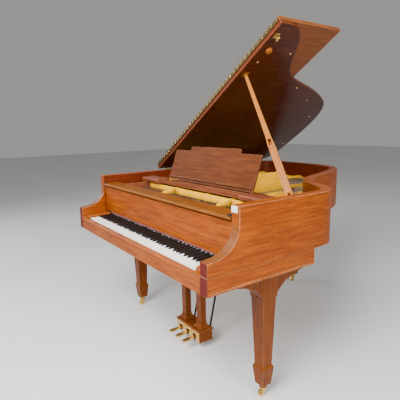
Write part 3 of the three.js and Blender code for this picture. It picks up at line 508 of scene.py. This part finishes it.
# ------------------------------------------------------------------ case
def rim_stations():
    """(outer point, inner point, top height) round the rim, with the scrolls of both arms."""
    outer = case_curve(0)
    inner = moved_in(outer, RIM_WALL)
    scroll = [(0.0, 0.786), (0.048, 0.791)]
    scroll += bezier(scroll[-1], (0.110, 0.798), (0.161, 0.846), (0.165, 0.905), 18)
    scroll.append((SCROLL_BACK, RIM_TOP))
    left = [((-SIDE, y), (-SIDE + RIM_WALL, y), z) for y, z in scroll]
    right = [((SIDE, y), (SIDE - RIM_WALL, y), z) for y, z in reversed(scroll)]
    middle = [(a, b, RIM_TOP) for a, b in zip(outer[1:-1], inner[1:-1])]
    return left + middle + right


def rim():
    """The outer rim, which is the whole side of the case in one bent board."""
    bm = bmesh.new()
    loops = []
    for (xa, ya), (xb, yb), top in rim_stations():
        corners = [(xa, ya, RIM_BOTTOM), (xa, ya, top), (xb, yb, top), (xb, yb, RIM_BOTTOM)]
        loops.append([bm.verts.new(corner) for corner in corners])
    for before, after in zip(loops, loops[1:]):
        in_scroll = min(before[0].co.y, after[0].co.y) < SCROLL_BACK - 0.001
        top, inner = (SCROLL, BODY) if in_scroll else (BODY, LINING)
        for k, finish in enumerate((BODY, top, inner, BODY)):
            j = (k + 1) % 4
            face = bm.faces.new((before[k], before[j], after[j], after[k]))
            face.material_index = finish
    for end in (loops[0], loops[-1][::-1]):
        bm.faces.new(end).material_index = ARM_FRONT
    obj = piece("rim_shell", bm, CASE_WOOD, "case", rounded=0.0018)
    for material in (SCROLL_WOOD, ARM_RED, RIM_INNER):
        obj.data.materials.append(material)
    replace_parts(obj, "outer_rim")


def arm_caps():
    """Thin red facings on the front ends of the rails under the arms."""
    for name in ("left", "right"):
        low, high = layout_box(f"base_rail_{name}")
        bm = bmesh.new()
        add_box(bm, (low.x, -0.0008, low.z + 0.001), (high.x, -0.0001, high.z - 0.001))
        piece(f"arm_end_{name}", bm, ARM_RED, "case")


def rim_buttons():
    """Rubber buttons on the stretcher's ends, and the pale block on the rim's treble end."""
    low, high = layout_box("stretcher")
    bm = bmesh.new()
    for side in (-1, 1):
        add_turning(bm, [(0, 0.0105), (0.004, 0.0115), (0.0075, 0.009)],
                    (side * (high.x - 0.014), low.y + 0.013, high.z - 0.0005))
    piece("stretcher_buttons", bm, RUBBER, "case")
    bm = bmesh.new()
    add_box(bm, (SIDE - RIM_WALL + 0.003, SCROLL_BACK - 0.0055, RIM_TOP - 0.030),
            (SIDE - 0.010, SCROLL_BACK - 0.0012, RIM_TOP - 0.002))
    piece("rim_end_block", bm, CREAM, "case", rounded=0.0015)


# ------------------------------------------------------------------ keyboard details
def key_felt():
    """The strip of red felt under the front of the fallboard, just above the keys."""
    low, high = layout_box("natural_keys")
    board, _ = layout_box("fallboard")
    bm = bmesh.new()
    add_box(bm, (low.x, board.y + 0.004, board.z - 0.0035), (high.x, board.y + 0.0075, board.z - 0.0004))
    piece("name_felt", bm, RED_FELT, "key_cover")


# ------------------------------------------------------------------ strings
def reach(x, inset):
    """How far back the case reaches at a given X, measured to an inset of its outline."""
    furthest = 0
    outline = moved_in(case_curve(0), inset)
    for (xa, ya), (xb, yb) in zip(outline, outline[1:]):
        if (xa - x) * (xb - x) <= 0 and xa != xb:
            furthest = max(furthest, ya + (yb - ya) * (x - xa) / (xb - xa))
    return furthest


def notes():
    """(x at the front, x at the back, height, end, is it bass) for each note."""
    for i in range(BASS_COUNT):
        x = BASS_FIRST + i * NOTE_PITCH
        yield x, x + BASS_DRIFT, STRING_Z + BASS_RISE, reach(x + BASS_DRIFT, RIM_WALL + 0.196), True
    for i in range(TREBLE_COUNT):
        x = TREBLE_FIRST + i * NOTE_PITCH
        yield x, x, STRING_Z, reach(x, RIM_WALL + 0.096), False


def clear_of_ribs(x):
    return all(abs(rib - x) > 0.0125 for rib in RIB_X)


def strings():
    """Two wires to a note in the treble and one thick one in the bass."""
    treble, bass = bmesh.new(), bmesh.new()
    for x, x_back, z, end, is_bass in notes():
        if not clear_of_ribs(x):
            continue
        if is_bass:
            add_rod(bass, (x, PIN_Y, z), (x_back, end, z), 0.0013, 6)
        else:
            for shift in (-0.0011, 0.0011):
                add_rod(treble, (x + shift, PIN_Y, z), (x_back + shift, end, z), 0.0005, 4)
    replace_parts(piece("treble_wires", treble, STEEL, "case"), "treble_strings")
    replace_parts(piece("bass_wires", bass, COPPER, "case"), "bass_strings")


def tuning_pins():
    """Two pins to a note, in staggered rows, with the wire coiled round their necks."""
    pins, coils, felts = bmesh.new(), bmesh.new(), bmesh.new()
    for index, (x, _, _, _, _) in enumerate(notes()):
        if not clear_of_ribs(x):
            continue
        for row in range(2):
            y = PIN_Y + 0.022 * row + 0.008 * (index % 2)
            at = x + (row - 0.5) * 0.004
            add_rod(pins, (at, y, PLATE_TOP - 0.001), (at, y - 0.001, PLATE_TOP + 0.024), 0.0032, 8,
                    0.0028)
            add_rod(coils, (at, y, PLATE_TOP + 0.004), (at, y, PLATE_TOP + 0.0095), 0.0042, 8)
    add_box(felts, (-0.56, 0.432, PLATE_TOP), (0.556, 0.448, PLATE_TOP + 0.0018))
    piece("tuning_pins", pins, PIN_STEEL, "case", degrees=50)
    piece("string_coils", coils, STEEL, "case", degrees=50)
    piece("string_felt", felts, RED_FELT, "case")


def hitch_pins():
    bm = bmesh.new()
    for x, x_back, z, end, _ in notes():
        if clear_of_ribs(x):
            add_rod(bm, (x_back, end + 0.001, PLATE_TOP - 0.001), (x_back, end + 0.003, z + 0.004), 0.0016, 6)
    piece("hitch_pins", bm, PIN_STEEL, "case", degrees=50)


def plate_bolts():
    """Round-headed bolts round the plate's flange and near the ends of its front web."""
    bm = bmesh.new()
    outline = moved_in(case_curve(0), RIM_WALL + 0.024)
    spots = []
    travelled = 0.0
    for a, b in zip(outline, outline[1:]):
        length = math.dist(a, b)
        while travelled < length:
            share = travelled / length
            point = (a[0] + (b[0] - a[0]) * share, a[1] + (b[1] - a[1]) * share)
            if point[1] > BOLTS_START:
                spots.append(point)
            travelled += BOLT_SPACING
        travelled -= length
    spots += [(x, y) for x in (-0.625, 0.625) for y in (0.315, 0.420)]
    for x, y in spots:
        add_turning(bm, [(0, 0.0105), (0.0015, 0.0105), (0.0045, 0.0085), (0.0062, 0.0045),
                         (0.0066, 0.001)], (x, y, PLATE_TOP - 0.0004), 18)
    piece("plate_bolts", bm, BRASS, "case")


def rib_nuts():
    """Nuts on top of the two tall ribs of the plate."""
    bm = bmesh.new()
    top = layout_box("cast_iron_plate")[1].z
    for x, reach_back in ((RIB_X[1], 1.36), (RIB_X[2], 1.02)):
        for share in (0, 0.5, 1):
            y = 0.72 + (reach_back - 0.72) * share
            add_turning(bm, [(0, 0.0055), (0.003, 0.0055), (0.0045, 0.002)], (x, y, top - 0.0006), 6)
    piece("rib_nuts", bm, BRASS, "case")


# ------------------------------------------------------------------ lid
def open_lid():
    """Turns a piece laid out on the closed lid up to where the lid stands."""
    there = Matrix.Translation(LID_AXIS)
    return there @ Matrix.Rotation(-LID_OPEN, 4, "Y") @ there.inverted()


def lid_panel():
    """The main lid in one board, with its edges rounded over."""
    bm = bmesh.new()
    add_prism(bm, case_curve(LID_EDGE), LID_UNDER, LID_UNDER + LID_THICK, open_lid())
    obj = piece("lid_panel", bm, LID_INNER, "lid", rounded=0.0035)
    obj.data.materials.append(LID_OUTER)
    obj.data.materials.append(LID_SIDES)
    up = open_lid().to_3x3() @ Vector((0, 0, 1))
    for face in obj.data.polygons:
        tilt = face.normal.dot(up)
        if tilt > -0.7:
            face.material_index = 1 if tilt > 0.7 else 2
    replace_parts(obj, "lid_main")


def on_lid(along, y, drop=0.0):
    """A point on the lid's underside: along from the spine, back from the front, below the lid."""
    return open_lid() @ Vector((LID_AXIS.x + along, y, LID_UNDER - drop))


def lid_fittings():
    down = open_lid().to_3x3() @ Vector((0, 0, -1))
    buttons, brass, cup = bmesh.new(), bmesh.new(), bmesh.new()
    for along, y in LID_BUTTONS:
        a = on_lid(along, y)
        add_rod(buttons, a, a + down * BUTTON_HEIGHT, 0.0065, 16, 0.005)
        add_rod(brass, a, a + down * 0.0012, 0.0075, 16)
    latch = open_lid() @ Matrix.Translation((LID_AXIS.x + LATCH[0], LATCH[1], LID_UNDER))
    add_box(brass, (-0.016, -0.014, -0.003), (0.016, 0.014, 0.0), latch)
    add_box(brass, (-0.005, -0.010, -0.020), (0.005, 0.010, -0.003), latch)
    add_box(brass, (-0.014, -0.003, -0.026), (0.014, 0.003, -0.019), latch)
    a = on_lid(*SHORT_PROP_CUP)
    add_rod(cup, a, a + down * 0.014, 0.019, 24, 0.016)
    piece("lid_buttons", buttons, BUFFER, "lid")
    piece("lid_latch", brass, BRASS, "lid", rounded=0.0008)
    piece("short_prop_cup", cup, PROP_WOOD, "lid", rounded=0.002)


def piano_hinge_details():
    """Knuckles and screw heads along the hinge between the lid and its folded flap."""
    turn = open_lid()
    knuckles, screws = bmesh.new(), bmesh.new()
    z = LID_UNDER + LID_THICK
    start, end, step = -SIDE + 0.014, SIDE - 0.010, 0.0125
    count = int((end - start) / step)
    for i in range(count):
        x = start + i * step
        a = turn @ Vector((x, LID_EDGE - 0.0024, z + 0.0007))
        b = turn @ Vector((x + step * 0.86, LID_EDGE - 0.0024, z + 0.0007))
        add_rod(knuckles, a, b, 0.0027, 10)
        if i % 3 == 1:
            for aside, height in ((0, 0.009), (0.006, 0.017)):
                a = turn @ Vector((x + aside, LID_EDGE - 0.0022, z + height))
                b = turn @ Vector((x + aside, LID_EDGE - 0.0034, z + height))
                add_rod(screws, a, b, 0.0026, 10, 0.0016)
    piece("hinge_knuckles", knuckles, AGED_BRASS, "lid_flap", degrees=50)
    piece("hinge_screws", screws, BRASS, "lid_flap", degrees=50)


def spine_hinge_screws():
    bm = bmesh.new()
    for name in ("lid_hinge_front", "lid_hinge_rear"):
        low, high = layout_box(name)
        for share in (0.14, 0.5, 0.86):
            y = low.y + (high.y - low.y) * share
            add_turning(bm, [(0, 0.0035), (0.0006, 0.0032), (0.001, 0.001)],
                        (-SIDE + 0.022, y, RIM_TOP + 0.0021), 12)
    piece("spine_hinge_screws", bm, BRASS, "case")


# ------------------------------------------------------------------ prop
def prop_axes():
    """The prop's own frame, as the CAD part lays it out: origin at the pivot, +Z up the stick."""
    tip = Vector((LID_AXIS.x + PROP_ALONG * math.cos(LID_OPEN), PROP_Y,
                  LID_AXIS.z + PROP_ALONG * math.sin(LID_OPEN)))
    up = (tip - PROP_FOOT).normalized()
    stowed = Vector((-math.sin(STOW_AZIMUTH) * math.cos(STOW_DIP),
                     math.cos(STOW_AZIMUTH) * math.cos(STOW_DIP), -math.sin(STOW_DIP)))
    pin = up.cross(stowed).normalized()
    side = up.cross(pin)
    turn = Matrix((pin, side, up)).transposed().to_4x4()
    return Matrix.Translation(PROP_FOOT) @ turn, (tip - PROP_FOOT).length


def prop_stick():
    """The full-length prop: slotted below for the short stick, and tapered to the cup."""
    turn, length = prop_axes()
    bm = bmesh.new()
    # Height along the stick, half its width, and how far it reaches behind and in front of its middle.
    levels = [(-0.012, 0.012, -0.009, 0.009), (-0.004, 0.017, -0.016, 0.016),
              (0.008, 0.017, -0.020, 0.020), (0.300, 0.017, -0.020, 0.020),
              (0.335, 0.0145, -0.0185, 0.0185), (0.350, 0.013, -0.0175, 0.0175),
              (length - 0.030, 0.0085, -0.011, 0.011), (length - 0.010, 0.0070, -0.009, 0.009),
              (length - 0.0055, 0.0045, -0.005, 0.005)]
    slot_half, slot_back, slot_top = 0.0075, -0.008, 0.335
    rings = []
    for z, half, back, front in levels:
        outline = [(-half, back), (half, back), (half, front), (-half, front)]
        if z <= slot_top:
            outline = [(-half, back), (half, back), (half, front), (slot_half, front),
                       (slot_half, slot_back), (-slot_half, slot_back), (-slot_half, front),
                       (-half, front)]
        rings.append([bm.verts.new(turn @ Vector((x, y, z))) for x, y in outline])
    for below, above in zip(rings, rings[1:]):
        if len(below) == len(above):
            for k in range(len(below)):
                j = (k + 1) % len(below)
                bm.faces.new((below[k], below[j], above[j], above[k]))
        else:
            a, b, c, d, e, f, g, h = below
            p, q, r, s = above
            bm.faces.new((a, b, q, p))
            bm.faces.new((b, c, r, q))
            bm.faces.new((c, d, g, h, s, r))
            bm.faces.new((h, a, p, s))
            bm.faces.new((d, e, f, g))
    bm.faces.new(rings[0][::-1])
    bm.faces.new(rings[-1])
    obj = piece("prop_full", bm, PROP_WOOD, "prop", rounded=0.0012)
    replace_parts(obj, "prop_stick")
    rivet = bmesh.new()
    for side in (-1, 1):
        inner_end, outer_end = (turn @ Vector((side * x, 0, 0)) for x in (0.0165, 0.0178))
        add_rod(rivet, inner_end, outer_end, 0.007, 16)
    piece("prop_rivet", rivet, BRASS, "prop", rounded=0.0006)


# ------------------------------------------------------------------ pedals and legs
def lyre_mouldings():
    """Stepped mouldings at the feet and heads of the lyre posts."""
    low, high = layout_box("lyre_frame")
    middle_y = (low.y + high.y) / 2
    bm = bmesh.new()
    for side in (-1, 1):
        x = LYRE_X + side * LYRE_POST
        for half, bottom, top in ((0.0365, 0.1205, 0.126), (0.0245, 0.150, 0.155), (0.0245, 0.600, 0.606),
                                  (0.0290, 0.612, 0.6275)):
            add_box(bm, (x - half, middle_y - half, bottom), (x + half, middle_y + half, top))
    piece("lyre_mouldings", bm, LYRE_WOOD, "case", rounded=0.0015)


def leg_beads():
    """A thin bead round the shoulder of each front leg."""
    bm = bmesh.new()
    for name in ("leg_front_left", "leg_front_right"):
        low, high = layout_box(name)
        x = (low.x + high.x) / 2
        add_box(bm, (x - 0.046, LEG_Y - 0.0455, LEG_SHOULDER - 0.0005),
                (x + 0.046, LEG_Y + 0.0455, LEG_SHOULDER + 0.0045))
    piece("leg_beads", bm, LYRE_WOOD, "case", rounded=0.0015)


# ------------------------------------------------------------------ floor, light and camera
def floor():
    bpy.ops.mesh.primitive_plane_add(size=40, location=(0, 0, 0))
    ground = bpy.context.object
    ground.name = "floor"
    tree = Tree("pale_floor")
    patches = tree.noise(tree.object_point, 0.6, 3, 0.5)
    tree.set(color=tree.ramp(patches, [(0.3, 0.62), (0.7, 0.68)]), roughness=0.6)
    ground.data.materials.append(tree.material)


def soft_light(name, place, target, size, watts):
    data = bpy.data.lights.new(name, "AREA")
    data.size = size
    data.energy = watts
    light = bpy.data.objects.new(name, data)
    bpy.context.scene.collection.objects.link(light)
    light.location = place
    light.rotation_euler = (Vector(target) - Vector(place)).to_track_quat("-Z", "Y").to_euler()


def studio():
    world = bpy.data.worlds.new("studio")
    world.use_nodes = True
    background = world.node_tree.nodes["Background"]
    background.inputs[0].default_value = (1.0, 0.98, 0.95, 1)
    background.inputs[1].default_value = 0.34
    bpy.context.scene.world = world
    soft_light("key_light", (1.6, -3.4, 3.2), (0, -0.3, 0.7), 2.2, 405)
    soft_light("side_light", (4.4, -0.6, 2.2), (0.2, -0.2, 0.8), 2.0, 190)
    soft_light("top_light", (0.6, -1.7, 3.0), (0, -0.6, 0.7), 1.6, 58)
    soft_light("fill_light", (-3.6, -2.2, 2.8), (0, 0, 0.8), 3.0, 92)


def camera():
    """The camera at the treble side in front of the piano, tilted a little down and to one side."""
    place = SHIFT + CAMERA_PLACE
    yaw, pitch, roll = CAMERA_YAW, CAMERA_PITCH, CAMERA_ROLL
    forward = Vector((-math.sin(yaw) * math.cos(pitch), math.cos(yaw) * math.cos(pitch),
                      -math.sin(pitch)))
    level = forward.cross(Vector((0, 0, 1))).normalized()
    upward = level.cross(forward)
    right = level * math.cos(roll) + upward * math.sin(roll)
    up = upward * math.cos(roll) - level * math.sin(roll)
    data = bpy.data.cameras.new("view")
    data.sensor_width = CAMERA_SENSOR
    data.lens = CAMERA_LENS
    obj = bpy.data.objects.new("view", data)
    bpy.context.scene.collection.objects.link(obj)
    obj.matrix_world = Matrix.Translation(place) @ Matrix((right, up, -forward)).transposed().to_4x4()
    bpy.context.scene.camera = obj


dress_cad_nodes()
rim()
arm_caps()
rim_buttons()
key_felt()
strings()
tuning_pins()
hitch_pins()
plate_bolts()
rib_nuts()
lid_panel()
lid_fittings()
piano_hinge_details()
spine_hinge_screws()
prop_stick()
lyre_mouldings()
leg_beads()
floor()
studio()
camera()
